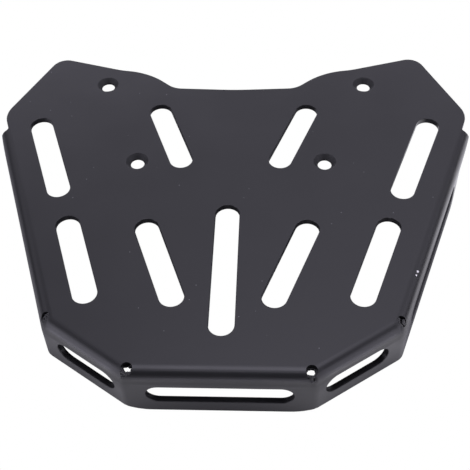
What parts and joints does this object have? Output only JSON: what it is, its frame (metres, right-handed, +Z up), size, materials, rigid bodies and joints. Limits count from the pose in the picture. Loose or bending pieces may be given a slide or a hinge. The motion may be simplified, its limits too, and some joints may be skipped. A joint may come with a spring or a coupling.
{
  "type": "motorcycle luggage rack",
  "caption": "One-piece folded steel luggage rack plate for a motorcycle tail, with strap slots through the top and flanges and countersunk bolt holes.",
  "frame": {"origin": "on the centre line, at the middle of the rack's length, on the surface that the lowest edge of the rear flange stands on", "axes": "+Z up, square to the flat top plate; -Y towards the rear of the motorcycle; +X to the motorcycle's right"},
  "size_m": [0.3182, 0.2684, 0.035],
  "materials": {
    "black_powder_coat": "satin black powder coat, finely textured"
  },
  "bodies": {
    "root": {"rack_plate": "black_powder_coat"}
  },
  "joints": []
}
